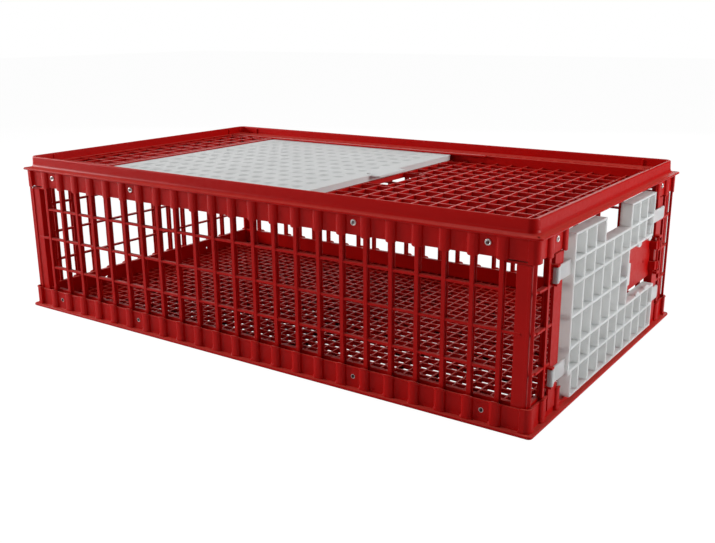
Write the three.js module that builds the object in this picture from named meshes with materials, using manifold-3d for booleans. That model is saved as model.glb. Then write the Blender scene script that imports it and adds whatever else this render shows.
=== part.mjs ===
// Poultry transport crate: a riveted plastic cage for live birds, with a grid floor, barred walls,
// a lid with a sliding top hatch, and a hinged end door with its own latch flap.
// Millimetres, +Z up. The long side runs along X and the end door is at +X.
// The origin is the centre of the underside, on the floor that the crate stands on.
import * as THREE from 'three';
import { mergeVertices } from 'three/addons/utils/BufferGeometryUtils.js';
import Module from 'manifold-3d';

const wasm = await Module();
wasm.setup();

// Overall size of the crate.
const LENGTH = 970;
const WIDTH = 580;
const HEIGHT = 270;

// Wall bars: evenly pitched along the long sides and the closed end, joined by three rails.
const BAR_PITCH = 39.3;
const LONG_BARS = 23;
const END_BARS = 13;
const BAR_WIDTH = 6.2;
const RAIL_HEIGHTS = [76, 128, 180];
const RAIL_WIDTH = 3.5;
const WALL_BOTTOM = 8.4;
const WALL_TOP = 246.6;
const WALL_INNER = { long: 266, end: 464 };
const WALL_OUTER = { long: 273.7, end: 471.7 };
const BAR_FRONT = { long: 279, end: 477 };
const BAR_BACK = { long: 271, end: 469 };
const CORNER_PLATE = { inner: 451, outer: 472 };
const END_WALL_HALF = 265.6;
const BAR_STRETCH = [36.5, 218.5];
const CORNER_LIP = { inner: 275.5, outer: 278 };
const DOOR_END_BARS = [238];

// Base tray: flange on the ground, grid floor, and a skirt whose lobes hold the feet of the bars.
const FLANGE_TOP = 4;
const FLANGE_RADIUS = 6;
const SKIRT_RADIUS = 8;
const FLOOR_BOTTOM = 3;
const FLOOR_TOP = 8;
const FLOOR_CELLS = { columns: 9, rows: 5, pitchX: 101, pitchY: 102, centreX: 0, rib: 7 };
const BASE_SKIRT = {
  top: 36, lobeX: 480, lobeY: 285, panelX: 475.5, panelY: 280.5, innerX: 473, innerY: 278,
};
const SILL_TOP = 10;
const DOOR_END_LOBES = [-238, -193, 193, 238];
const DOOR_GAP_HALF = 187;

// Lid: skirt, flange, stacking rim, ledge, and a recessed grid that the top door slides over.
const LID_SKIRT = {
  bottom: 219, lobeX: 479.5, lobeY: 281, panelX: 475.5, panelY: 276.8, innerX: 472.7, innerY: 274.3,
};
const LID_FLANGE = { bottom: 247, top: 250, halfX: 484, halfY: 284.5, radius: 6 };
const RIM = { halfX: 472.5, halfY: 275, radius: 12, thickness: 4 };
const LEDGE = { bottom: 253.5, top: 256.5 };
const TRACK = { left: -340, right: 442, halfY: 231, wall: 3 };
const LID_GRID = { bottom: 236.5, top: 244.5 };
const LOW_CELLS = { columns: 4, rows: 5, pitchX: 76, pitchY: 91, centreX: 284.5, rib: 5 };
const HIGH_CELLS = { columns: 2, rows: 5, pitchX: 60, pitchY: 91, centreX: -404, rib: 5 };
const LIP = { right: 155, inner: 221, bottom: 255.3, top: 258 };
const HATCH = { left: -300, right: -10, halfY: 195 };
const FINGER_HOLE = { left: 84, right: 127, halfY: 56 };

// Sliding top door.
const TOP_DOOR = { left: -338, right: 88, halfY: 229.5, bottom: 245.2, top: 254.8, skin: 2.5 };
const TOP_POCKETS = { columns: 5, rows: 5, pitchX: 84, pitchY: 91, centreX: -125, rib: 3 };
const TOP_CHAMFER = 10;
const TOP_HANDLE = { right: 105, front: -45, back: 35, bottom: 250.6 };
const TOP_NUB = { x: 80, y: -38, radius: 4, top: 257.5 };

// End door: a deep outward-facing grid of pockets between two posts, with a notch in its top edge.
const END_DOOR = { back: 467, front: 485, skin: 2.5, left: -178, right: 152, lowerRight: 180, rib: 3 };
const POCKET_COLUMNS = 9;
const POCKET_ROWS = [13.5, 50, 82, 125.5, 169, 200.5, 235];
const NOTCH_COLUMNS = [3, 6];
const WINDOW_ROWS = [2, 4];
const SNAP_TEETH = { upper: [92, 142], lower: [100, 145], half: 7, reach: 6, depth: 4 };
const DOOR_TABS = { back: 477.6, front: 480.4, reach: 223, heights: [[48, 70], [183, 203]] };
const DOOR_POST = { inner: 196, outer: 222, web: 3, face: 474 };
const DOOR_HINGE = { x: 480.2, y: -225.5, pinRadius: 1.8, boreRadius: 2.2, knuckleRadius: 4 };

// Latch flap in the end door's window, on a pin in front of the far post.
const LATCH = { back: 468, front: 471.5, left: 58, right: 194, bottom: 91, top: 160 };
const LATCH_HINGE = { x: 481, y: 201, pinRadius: 1.8, boreRadius: 2.2, knuckleRadius: 3.7 };
const LATCH_KNUCKLES = [[102, 116], [136, 150]];
const LATCH_EARS = [[94, 98], [154, 158]];

// Tubular rivets that hold the base, the walls and the lid together.
const RIVET = { headRadius: 5.5, headHeight: 1.5, shankRadius: 2.3, holeRadius: 2.9, sides: 6 };
const RIVET_HEIGHTS = { base: 19, lid: 236 };
const LONG_RIVETS = [-412.6, -216.2, 216.2, 412.6];
const CLOSED_END_RIVETS = [-137.5, 137.5];
const DOOR_END_RIVETS = [-216, 216];

const GAP = 0.4;

const red = new THREE.MeshStandardMaterial({ color: 0xb5160f, roughness: 0.45, metalness: 0 });
const white = new THREE.MeshStandardMaterial({ color: 0xdfe0df, roughness: 0.5, metalness: 0 });
const metal = new THREE.MeshStandardMaterial({ color: 0xb9b9b5, roughness: 0.3, metalness: 1 });

const group = new THREE.Group();

function addPart(name, geometry, material) {
  const mesh = new THREE.Mesh(geometry, material);
  mesh.name = name;
  group.add(mesh);
  return mesh;
}

// Closed geometry to solid and back.
function solid(geometry) {
  const bare = geometry.clone();
  bare.deleteAttribute('normal');
  bare.deleteAttribute('uv');
  const merged = mergeVertices(bare, 1e-4);
  return new wasm.Manifold(new wasm.Mesh({
    numProp: 3,
    vertProperties: new Float32Array(merged.attributes.position.array),
    triVerts: new Uint32Array(merged.index.array),
  }));
}

function surface(manifold) {
  const mesh = manifold.getMesh();
  const geometry = new THREE.BufferGeometry();
  geometry.setAttribute('position', new THREE.BufferAttribute(new Float32Array(mesh.vertProperties), 3));
  geometry.setIndex(new THREE.BufferAttribute(new Uint32Array(mesh.triVerts), 1));
  const flat = geometry.toNonIndexed();
  flat.computeVertexNormals();
  return flat;
}

function join(solids) {
  return solids.reduce((whole, piece) => whole.add(piece));
}

function cut(whole, solids) {
  return solids.reduce((rest, piece) => rest.subtract(piece), whole);
}

function block(x0, x1, y0, y1, z0, z1) {
  const geometry = new THREE.BoxGeometry(x1 - x0, y1 - y0, z1 - z0);
  geometry.translate((x0 + x1) / 2, (y0 + y1) / 2, (z0 + z1) / 2);
  return solid(geometry);
}

// A rounded outline as a flat slab.
function roundedSlab(halfX, halfY, radius, z0, z1) {
  const steps = 5;
  const points = [];
  const quarters = [[1, -1], [1, 1], [-1, 1], [-1, -1]];
  quarters.forEach(([signX, signY], quarter) => {
    for (let step = 0; step <= steps; step++) {
      const angle = (quarter - 1 + step / steps) * Math.PI / 2;
      const x = signX * (halfX - radius) + radius * Math.cos(angle);
      const y = signY * (halfY - radius) + radius * Math.sin(angle);
      points.push(new THREE.Vector2(x, y));
    }
  });
  const settings = { depth: z1 - z0, bevelEnabled: false };
  const geometry = new THREE.ExtrudeGeometry(new THREE.Shape(points), settings);
  geometry.translate(0, 0, z0);
  return solid(geometry);
}

// Two numbers mirrored to one side and put in rising order.
function sided(side, near, far) {
  return side < 0 ? [-far, -near] : [near, far];
}

function barPositions(count) {
  return Array.from({ length: count }, (_, i) => (i - (count - 1) / 2) * BAR_PITCH);
}

function pin(x, y, z0, z1, radius) {
  const geometry = new THREE.CylinderGeometry(radius, radius, z1 - z0, 10);
  geometry.rotateX(Math.PI / 2);
  geometry.translate(x, y, (z0 + z1) / 2);
  return solid(geometry);
}

// Skirt of a tray: a rounded ring whose panels are set back between lobes at every bar.
function skirtRing(skirt, z0, z1) {
  const lobeHalf = 8;
  const cornerLobe = 16;
  const beyond = 5;
  const body = roundedSlab(skirt.lobeX, skirt.lobeY, SKIRT_RADIUS, z0, z1);
  const removals = [block(-skirt.innerX, skirt.innerX, -skirt.innerY, skirt.innerY, z0 - 1, z1 + 1)];
  const panels = (lobes, half) => {
    const edges = [cornerLobe - half, ...lobes, half - cornerLobe];
    return edges.slice(1).map((edge, i) => [edges[i] + lobeHalf, edge - lobeHalf]);
  };
  for (const side of [-1, 1]) {
    const [y0, y1] = sided(side, skirt.panelY, skirt.lobeY + beyond);
    for (const [x0, x1] of panels(barPositions(LONG_BARS), skirt.lobeX)) {
      removals.push(block(x0, x1, y0, y1, z0 - 1, z1 + 1));
    }
    const [x0, x1] = sided(side, skirt.panelX, skirt.lobeX + beyond);
    for (const [v0, v1] of panels(endLobes(side), skirt.lobeY)) {
      removals.push(block(x0, x1, v0, v1, z0 - 1, z1 + 1));
    }
  }
  return cut(body, removals);
}

function endLobes(side) {
  return side < 0 ? barPositions(END_BARS) : DOOR_END_LOBES;
}

// A rivet's way through the panel and the wall band behind it.
function rivetHole(side, along, height) {
  const length = 40;
  const geometry = new THREE.CylinderGeometry(RIVET.holeRadius, RIVET.holeRadius, length, RIVET.sides);
  if (side === 'front' || side === 'back') {
    const y = (WALL_INNER.long + BASE_SKIRT.lobeY) / 2;
    geometry.translate(along, side === 'front' ? -y : y, height);
  } else {
    const x = (WALL_INNER.end + BASE_SKIRT.lobeX) / 2;
    geometry.rotateZ(Math.PI / 2);
    geometry.translate(side === 'left' ? -x : x, along, height);
  }
  return solid(geometry);
}

function rivetPlaces(height) {
  const places = [];
  for (const along of LONG_RIVETS) {
    places.push({ side: 'front', along, height });
    places.push({ side: 'back', along, height });
  }
  for (const along of CLOSED_END_RIVETS) {
    places.push({ side: 'left', along, height });
  }
  for (const along of DOOR_END_RIVETS) {
    places.push({ side: 'right', along, height });
  }
  return places;
}

function rivetHoles(sides) {
  const all = [...rivetPlaces(RIVET_HEIGHTS.base), ...rivetPlaces(RIVET_HEIGHTS.lid)];
  const wanted = all.filter((place) => sides.includes(place.side));
  return wanted.map((place) => rivetHole(place.side, place.along, place.height));
}

// A field of rectangular openings with ribs between them.
function cells({ columns, rows, pitchX, pitchY, centreX, rib }, z0, z1) {
  const openings = [];
  for (let i = 0; i < columns; i++) {
    for (let j = 0; j < rows; j++) {
      const x = centreX + (i - (columns - 1) / 2) * pitchX;
      const y = (j - (rows - 1) / 2) * pitchY;
      const halfX = (pitchX - rib) / 2;
      const halfY = (pitchY - rib) / 2;
      openings.push(block(x - halfX, x + halfX, y - halfY, y + halfY, z0 - 1, z1 + 1));
    }
  }
  return openings;
}

function baseTray() {
  const { innerX, innerY, top } = BASE_SKIRT;
  const flange = roundedSlab(LENGTH / 2, WIDTH / 2, FLANGE_RADIUS, 0, FLANGE_TOP);
  const hollow = block(-innerX, innerX, -innerY, innerY, -1, FLANGE_TOP + 1);
  const floor = block(-innerX - 1, innerX + 1, -innerY - 1, innerY + 1, FLOOR_BOTTOM, FLOOR_TOP);
  const skirt = skirtRing(BASE_SKIRT, FLANGE_TOP - 1, top);
  const doorGap = block(innerX - 5, LENGTH / 2 + 5, -DOOR_GAP_HALF, DOOR_GAP_HALF, SILL_TOP, top + 1);
  const tray = join([
    flange.subtract(hollow),
    cut(floor, cells(FLOOR_CELLS, FLOOR_BOTTOM, FLOOR_TOP)),
    skirt,
  ]);
  return cut(tray, [doorGap, ...rivetHoles(['front', 'back', 'left', 'right'])]);
}

// The low grid that the top door slides over, with the hatch and the finger hole.
function lowGrid() {
  const { left, right, halfY } = TRACK;
  const { bottom, top } = LID_GRID;
  const grid = block(left - 2, right + 2, -halfY - 2, halfY + 2, bottom, top);
  return cut(grid, [
    block(HATCH.left, HATCH.right, -HATCH.halfY, HATCH.halfY, bottom - 1, top + 1),
    block(FINGER_HOLE.left, FINGER_HOLE.right, -FINGER_HOLE.halfY, FINGER_HOLE.halfY, bottom - 1, top + 1),
    ...cells(LOW_CELLS, bottom, top),
  ]);
}

// The ledge round the track, with the raised part of the grid on the left of the top door.
function ledgePlate(halfX, halfY, radius) {
  const plate = roundedSlab(halfX + 1, halfY + 1, radius, LEDGE.bottom, LEDGE.top);
  return cut(plate, [
    block(TRACK.left, TRACK.right, -TRACK.halfY, TRACK.halfY, LEDGE.bottom - 1, LEDGE.top + 1),
    ...cells(HIGH_CELLS, LEDGE.bottom, LEDGE.top),
  ]);
}

function trackWall() {
  const { left, right, halfY, wall } = TRACK;
  const outer = block(left - wall, right + wall, -halfY - wall, halfY + wall, LID_GRID.bottom, LEDGE.top);
  return outer.subtract(block(left, right, -halfY, halfY, LID_GRID.bottom - 1, LEDGE.top + 1));
}

function lid() {
  const insideX = RIM.halfX - RIM.thickness;
  const insideY = RIM.halfY - RIM.thickness;
  const insideRadius = RIM.radius - RIM.thickness;
  const { bottom, top, halfX, halfY, radius } = LID_FLANGE;
  const shell = join([
    roundedSlab(halfX, halfY, radius, bottom, top),
    roundedSlab(RIM.halfX, RIM.halfY, RIM.radius, bottom, HEIGHT),
  ]).subtract(roundedSlab(insideX, insideY, insideRadius, bottom - 1, HEIGHT + 1));
  const lips = [-1, 1].map((side) => {
    const [y0, y1] = sided(side, LIP.inner, TRACK.halfY + TRACK.wall);
    return block(TRACK.left - 2, LIP.right, y0, y1, LIP.bottom, LIP.top);
  });
  const whole = join([
    skirtRing(LID_SKIRT, LID_SKIRT.bottom, bottom + 1),
    shell,
    ledgePlate(insideX, insideY, insideRadius),
    trackWall(),
    lowGrid(),
    ...lips,
  ]);
  const { innerX, lobeX } = LID_SKIRT;
  const doorGap = block(innerX - 5, lobeX + 1, -DOOR_GAP_HALF, DOOR_GAP_HALF, LID_SKIRT.bottom - 1, bottom);
  return cut(whole, [doorGap, ...rivetHoles(['front', 'back', 'left', 'right'])]);
}

// Openings between bars and rails. Each gap gives its two edges and whether the outer rails cross it.
function barOpenings(gaps, opening) {
  const [lowest, highest] = BAR_STRETCH;
  const openings = [];
  for (const { from, to, allRails } of gaps) {
    const rails = allRails ? RAIL_HEIGHTS : [RAIL_HEIGHTS[1]];
    const starts = [lowest, ...rails.map((z) => z + RAIL_WIDTH / 2)];
    const ends = [...rails.map((z) => z - RAIL_WIDTH / 2), highest];
    starts.forEach((start, i) => openings.push(opening(from, to, start, ends[i])));
  }
  return openings;
}

function gapsBetween(bars, barHalf, first, last, cornerRails) {
  const starts = [first, ...bars.map((bar) => bar + barHalf)];
  const ends = [...bars.map((bar) => bar - barHalf), last];
  return starts.map((from, i) => {
    const atCorner = i === 0 || i === bars.length;
    return { from, to: ends[i], allRails: cornerRails || !atCorner };
  });
}

function longWall(side) {
  const bars = barPositions(LONG_BARS);
  const { inner, outer } = CORNER_PLATE;
  const [y0, y1] = sided(side, WALL_INNER.long, WALL_OUTER.long);
  const [r0, r1] = sided(side, WALL_INNER.long, BAR_FRONT.long);
  const [z0, z1] = BAR_STRETCH;
  const plate = join([
    block(-outer, outer, y0, y1, WALL_BOTTOM, WALL_TOP),
    block(-outer, outer, r0, r1, z0, z1),
  ]);
  const [b0, b1] = sided(side, WALL_INNER.long - 1, BAR_BACK.long);
  const behindBars = block(-inner, inner, b0, b1, z0, z1);
  const gaps = gapsBetween(bars, BAR_WIDTH / 2, -inner, inner, false);
  const openings = barOpenings(gaps, (u0, u1, v0, v1) => block(u0, u1, r0 - 1, r1 + 1, v0, v1));
  return cut(plate, [behindBars, ...openings, ...rivetHoles([side < 0 ? 'front' : 'back'])]);
}

// The end walls lap round the ends of the long walls with a corner lip.
function cornerLip(sideX, sideY) {
  const [x0, x1] = sided(sideX, CORNER_PLATE.outer + GAP, BAR_FRONT.end);
  const [y0, y1] = sided(sideY, END_WALL_HALF - 5, CORNER_LIP.outer);
  return block(x0, x1, y0, y1, BAR_STRETCH[0], BAR_STRETCH[1]);
}

function closedEndWall() {
  const bars = barPositions(END_BARS);
  const lap = 5;
  const [x0, x1] = sided(-1, WALL_INNER.end, WALL_OUTER.end);
  const [z0, z1] = BAR_STRETCH;
  const plate = join([
    block(x0, x1, -END_WALL_HALF, END_WALL_HALF, WALL_BOTTOM, WALL_TOP),
    block(-BAR_FRONT.end, x1, -END_WALL_HALF, END_WALL_HALF, z0, z1),
    cornerLip(-1, -1),
    cornerLip(-1, 1),
  ]);
  const gaps = gapsBetween(bars, BAR_WIDTH / 2, -CORNER_LIP.inner, CORNER_LIP.inner, true);
  const opening = (u0, u1, v0, v1) => block(-BAR_FRONT.end - lap, x1 + lap, u0, u1, v0, v1);
  const openings = barOpenings(gaps, opening);
  const behindBars = block(-BAR_BACK.end, x1 + lap, -CORNER_LIP.inner, CORNER_LIP.inner, z0, z1);
  return cut(plate, [behindBars, ...openings, ...rivetHoles(['left'])]);
}

// One side of the door end: door post, a bar and the corner, with rails between them.
function doorEndPanel(side) {
  const [y0, y1] = sided(side, DOOR_POST.inner, END_WALL_HALF);
  const { end: inner } = WALL_INNER;
  const plate = join([
    block(inner, WALL_OUTER.end, y0, y1, WALL_BOTTOM, WALL_TOP),
    block(inner, BAR_FRONT.end, y0, y1, BAR_STRETCH[0], BAR_STRETCH[1]),
    cornerLip(1, side),
  ]);
  const through = (front) => (u0, u1, v0, v1) => {
    const [v2, v3] = sided(side, u0, u1);
    return block(inner - 1, front, v2, v3, v0, v1);
  };
  const gaps = gapsBetween(DOOR_END_BARS, BAR_WIDTH / 2, DOOR_POST.outer, CORNER_LIP.inner, true);
  const behindPost = { from: DOOR_POST.inner + DOOR_POST.web, to: DOOR_POST.outer, allRails: true };
  const openings = [
    through(BAR_BACK.end)(DOOR_POST.inner + DOOR_POST.web, CORNER_LIP.inner, ...BAR_STRETCH),
    ...barOpenings(gaps, through(BAR_FRONT.end + 1)),
    ...barOpenings([behindPost], through(DOOR_POST.face)),
  ];
  const pins = side < 0 ? doorPins() : latchPin();
  return join([cut(plate, [...openings, ...rivetHoles(['right'])]), ...pins]);
}

// Pins that carry the knuckles of the end door, each between two ears on the post.
function doorPins() {
  const { x, y, pinRadius } = DOOR_HINGE;
  const ear = 3;
  const solids = [];
  for (const [low, high] of DOOR_TABS.heights) {
    solids.push(pin(x, y, low - GAP - ear, high + GAP + ear, pinRadius));
    for (const z of [low - GAP - ear, high + GAP]) {
      solids.push(block(WALL_OUTER.end, x + ear, y - ear, 1 - DOOR_POST.outer, z, z + ear));
    }
  }
  return solids;
}

// Pin that carries the latch flap, between two ears on the post.
function latchPin() {
  const { x, y, pinRadius } = LATCH_HINGE;
  const [lowEar, highEar] = LATCH_EARS;
  const solids = [pin(x, y, lowEar[0], highEar[1], pinRadius)];
  for (const [low, high] of LATCH_EARS) {
    solids.push(block(WALL_OUTER.end, x + 3, y - 3.5, y + 8, low, high));
  }
  return solids;
}

// A flat skin stiffened by ribs underneath, with a thin handle flush with it and a nub to push against.
function topDoor() {
  const { left, right, halfY, bottom, top, skin } = TOP_DOOR;
  const { front, back } = TOP_HANDLE;
  const handle = block(right - 2, TOP_HANDLE.right, front, back, TOP_HANDLE.bottom, top);
  const nub = pin(TOP_NUB.x, TOP_NUB.y, top - 1, TOP_NUB.top, TOP_NUB.radius);
  const plate = block(left, right, -halfY, halfY, bottom, top);
  const half = TOP_CHAMFER / Math.SQRT2;
  const corner = block(-half, half, -half, half, bottom - 1, top + 1)
    .rotate([0, 0, 45])
    .translate([right, halfY, 0]);
  const ribbed = cut(plate, [...cells(TOP_POCKETS, bottom - 2, top - skin - 1), corner]);
  return join([ribbed, handle, nub]);
}

function endDoor() {
  const { back, front, skin, left, right, lowerRight, rib } = END_DOOR;
  const half = rib / 2;
  const bottom = POCKET_ROWS[0] - half;
  const top = POCKET_ROWS[6] + half;
  const pitch = (right - left) / POCKET_COLUMNS;
  const columnLine = (column) => left + half + column * pitch;
  const [firstRow, lastRow] = WINDOW_ROWS;
  const lowerTop = POCKET_ROWS[firstRow] + half;
  const windowTop = POCKET_ROWS[lastRow] - half;
  const body = join([
    block(back, front, left, right + rib, bottom, top),
    block(back, front, right, lowerRight, bottom, lowerTop),
  ]);
  const removals = [
    block(
      back - 5,
      front + 5,
      columnLine(NOTCH_COLUMNS[0]) + half,
      columnLine(NOTCH_COLUMNS[1]) - half,
      POCKET_ROWS[5] + half,
      top + 5,
    ),
    block(back - 5, front + 5, columnLine(NOTCH_COLUMNS[1]) + half, lowerRight, lowerTop, windowTop),
  ];
  for (let row = 0; row + 1 < POCKET_ROWS.length; row++) {
    for (let column = 0; column <= POCKET_COLUMNS; column++) {
      const inNotch = row === 5 && column >= NOTCH_COLUMNS[0] && column < NOTCH_COLUMNS[1];
      const inWindow = row >= firstRow && row < lastRow && column >= NOTCH_COLUMNS[1];
      const pastEdge = column === POCKET_COLUMNS && row > 1;
      if (!inNotch && !inWindow && !pastEdge) {
        const y0 = columnLine(column) + half;
        const y1 = column === POCKET_COLUMNS ? lowerRight - rib : y0 + pitch - rib;
        const z0 = POCKET_ROWS[row] + half;
        const z1 = POCKET_ROWS[row + 1] - half;
        removals.push(block(back + skin, front + 5, y0, y1, z0, z1));
      }
    }
  }
  const additions = [];
  for (const [low, high] of DOOR_TABS.heights) {
    const { x, y, knuckleRadius } = DOOR_HINGE;
    const edge = low < lowerTop ? lowerRight : right + rib;
    additions.push(block(DOOR_TABS.back, DOOR_TABS.front, y, left + 2, low, high));
    additions.push(pin(x, y, low, high, knuckleRadius));
    additions.push(block(DOOR_TABS.back, DOOR_TABS.front, edge - 2, DOOR_TABS.reach, low, high));
  }
  additions.push(...snapTeeth(windowTop, lowerTop));
  const bores = DOOR_TABS.heights.map(([low, high]) => (
    pin(DOOR_HINGE.x, DOOR_HINGE.y, low - 2, high + 2, DOOR_HINGE.boreRadius)
  ));
  return cut(cut(body, removals).add(join(additions)), bores);
}

// Short teeth round the door's window that grip the edges of the latch flap.
function snapTeeth(windowTop, windowBottom) {
  const { upper, lower, half, reach, depth } = SNAP_TEETH;
  const { front } = END_DOOR;
  const { left } = LATCH;
  const tooth = (y, z0, z1) => block(front - depth, front, y - half, y + half, z0, z1);
  return [
    ...upper.map((y) => tooth(y, windowTop - reach, windowTop + 1)),
    ...lower.map((y) => tooth(y, windowBottom - 1, windowBottom + reach)),
    block(front - depth, front, left - 16, left - 5, 112, 145),
  ];
}

function latchFlap() {
  const { back, front, left, right, bottom, top } = LATCH;
  const { x, y, knuckleRadius, boreRadius } = LATCH_HINGE;
  const solids = [block(back, front, left, right, bottom, top)];
  for (const [low, high] of LATCH_KNUCKLES) {
    solids.push(pin(x, y, low, high, knuckleRadius));
    solids.push(block(front - 1, x + 1, right - 4, right, low, high));
    solids.push(block(x - 2.5, x + 1, right - 4, y, low, high));
  }
  const bore = pin(x, y, bottom, top, boreRadius);
  return cut(join(solids), [bore]);
}

// Head outside the panel, shank through the panel and the wall behind it.
function rivetGeometry(length) {
  const profile = [
    new THREE.Vector2(0, -length),
    new THREE.Vector2(RIVET.shankRadius, -length),
    new THREE.Vector2(RIVET.shankRadius, 0),
    new THREE.Vector2(RIVET.headRadius, 0),
    new THREE.Vector2(RIVET.headRadius * 0.7, RIVET.headHeight),
    new THREE.Vector2(0, RIVET.headHeight),
  ];
  return new THREE.LatheGeometry(profile, RIVET.sides);
}

function addRivets(level, skirt) {
  const outward = { front: [0, -1], back: [0, 1], left: [-1, 0], right: [1, 0] };
  const counts = { front: 0, back: 0, left: 0, right: 0 };
  for (const { side, along, height } of rivetPlaces(RIVET_HEIGHTS[level])) {
    const [dx, dy] = outward[side];
    const face = GAP + (dx ? skirt.panelX : skirt.panelY);
    const inner = dx ? WALL_INNER.end : WALL_INNER.long;
    counts[side] += 1;
    const rivet = addPart(`rivet_${level}_${side}_${counts[side]}`, rivetGeometry(face - inner), metal);
    rivet.position.set(dx ? dx * face : along, dy ? dy * face : along, height);
    rivet.quaternion.setFromUnitVectors(new THREE.Vector3(0, 1, 0), new THREE.Vector3(dx, dy, 0));
  }
}

addPart('base_tray', surface(baseTray()), red);
addPart('lid', surface(lid()), red);
addPart('front_wall', surface(longWall(-1)), red);
addPart('back_wall', surface(longWall(1)), red);
addPart('closed_end_wall', surface(closedEndWall()), red);
addPart('door_end_panel_front', surface(doorEndPanel(-1)), red);
addPart('door_end_panel_back', surface(doorEndPanel(1)), red);
addPart('top_sliding_door', surface(topDoor()), white);
addPart('end_door', surface(endDoor()), white);
addPart('latch_flap', surface(latchFlap()), red);
addRivets('base', BASE_SKIRT);
addRivets('lid', LID_SKIRT);

export default group;
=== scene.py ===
"""Poultry transport crate: the looks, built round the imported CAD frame.

Shapes are in millimetres until a mesh is made.
"""
import math

import bmesh
import bpy
import numpy as np
from mathutils import Matrix, Vector


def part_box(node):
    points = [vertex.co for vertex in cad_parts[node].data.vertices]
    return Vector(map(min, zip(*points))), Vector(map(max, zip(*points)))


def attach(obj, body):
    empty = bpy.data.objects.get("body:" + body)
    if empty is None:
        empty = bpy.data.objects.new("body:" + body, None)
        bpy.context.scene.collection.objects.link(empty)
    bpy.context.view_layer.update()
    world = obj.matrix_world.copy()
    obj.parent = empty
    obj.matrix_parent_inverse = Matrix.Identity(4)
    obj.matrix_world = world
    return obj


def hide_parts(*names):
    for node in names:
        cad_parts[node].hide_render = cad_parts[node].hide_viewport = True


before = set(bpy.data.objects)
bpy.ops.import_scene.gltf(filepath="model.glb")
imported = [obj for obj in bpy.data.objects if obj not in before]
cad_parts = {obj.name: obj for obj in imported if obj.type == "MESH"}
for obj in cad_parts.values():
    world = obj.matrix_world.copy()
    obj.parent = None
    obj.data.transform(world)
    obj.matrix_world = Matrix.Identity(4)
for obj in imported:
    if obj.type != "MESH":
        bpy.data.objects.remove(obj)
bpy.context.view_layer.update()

MM = 0.001


def span(node):
    """The lowest and highest corner of a CAD node, in millimetres."""
    low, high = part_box(node)
    return low / MM, high / MM


BASE_LOW, BASE_HIGH = span("base_tray")
LID_LOW, LID_HIGH = span("lid")
WALL_LOW, WALL_HIGH = span("back_wall")
END_LOW, END_HIGH = span("closed_end_wall")
POST_LOW, POST_HIGH = span("door_end_panel_back")
TOP_LOW, TOP_HIGH = span("top_sliding_door")
DOOR_LOW, DOOR_HIGH = span("end_door")

# Wall bars and rails.
BAR_PITCH = 39.3
LONG_BARS = 23
END_BARS = 13
BAR_HALF = 3.1
BAR_DEPTH = 8
DOOR_END_BAR = 238
WEB_HALF = 1.2
RAIL_HEIGHTS = (76, 128, 180)
RAIL_HALF = 1.75
BAR_FOOT = 11
BAR_HEAD = 245

# Skirts: a thin corrugated wall, with panels set back between lobes.
BASE_PANEL = (475.5, 280.5)
BASE_LOBE = (480.0, 285.0)
LID_PANEL = (475.5, 276.8)
LID_LOBE = (479.5, 281.0)
LOBE_HALF = 8
CORNER_LOBE = 9
SKIRT_RADIUS = 8
FLANGE_RADIUS = 6
RIM_RADIUS = 12
SKIRT_WALL = 2.6
DOOR_END_LOBES = ((-238, 8), (-193, 6), (193, 6), (238, 8))
DOOR_GAP = 187
PANEL_DROP = 3

# Floor and lid grids.
FLOOR_GRID = {"x": (-470, 470), "y": (-278, 278), "columns": 48, "rows": 28}
FLOOR_RIB = 3.4
FLOOR_TOP = 8
FLOOR_MESH_BOTTOM = 1.2
FLOOR_DEEP_BOTTOM = 0.6
LEDGE = (253.5, 256.5)
TRACK = {"left": -340, "right": 442, "half": 231, "wall": 3}
LOW_GRID = (236.5, 244.5)
GRID_RIB = 3
LID_PITCH_X = 29.45
LID_PITCH_Y = 34.8
LAST_RIB_X = 412.2
HATCH = {"left": -300, "right": -10, "half": 195}
FINGER_HOLE = {"left": 89, "right": 127, "half": 56}
LIP = {"right": 155, "inner": 221, "z": (255.3, 258)}

# Top door.
TOP_DOOR = {"right": 88, "top": 254.8, "skin": 2.5, "chamfer": 9}
DIMPLE_PITCH = (27.5, 34.5)
TOP_HANDLE = {"front": -45, "back": 35, "thick": 3.6, "radius": 4}
TOP_NUB = {"x": 80, "y": -38, "radius": 4}
DIMPLE = {"radius": 10, "depth": 2}

# End door.
END_DOOR = {
    "back": 467, "front": 485, "skin": 2.5, "rib": 3.8,
    "left": -178, "right": 152, "lower_right": 180,
}
DOOR_COLUMNS = 9
DOOR_ROWS = (13.5, 50, 82, 125.5, 169, 200.5, 235)
DOOR_INSET = {"left": -168, "top": 45}
NOTCH = (3, 6)
WINDOW_ROWS = (2, 4)
TOOTH_REACH = 6
LOWER_TEETH = ((100, 8), (145, 10))
UPPER_TEETH = ((92.5, 7.5), (142.5, 7.5))
DOOR_TABS = {"back": 477.6, "front": 480.4, "reach": 223, "heights": ((48, 70), (183, 203))}
DOOR_HINGE = {"x": 480.2, "y": -225.5, "pin": 1.8, "bore": 2.2, "knuckle": 4}

# Latch flap.
LATCH = {"back": 468, "front": 471.5, "left": 58, "right": 194, "bottom": 91, "top": 160}
LATCH_KNUCKLES = ((102, 116), (136, 150))
LATCH_EARS = ((94, 98), (154, 158))
LATCH_HINGE = {"x": 481, "y": 201, "pin": 1.8, "bore": 2.2, "knuckle": 3.7}
GATE_MARK = {"y": 160, "z": 122}

# Rivets: outer radius, bore and rise of the rolled head, by level.
RIVET_HEADS = {"base": (3.3, 2.5, 0.2), "lid": (4.4, 2.3, 1.3)}
RIVET_TUBE = 2.75
RIVET_LENGTH = 9
RIVET_HOLE = {"radius": RIVET_TUBE + 0.05, "depth": 12}


# ---------------------------------------------------------------- mesh tools

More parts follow.
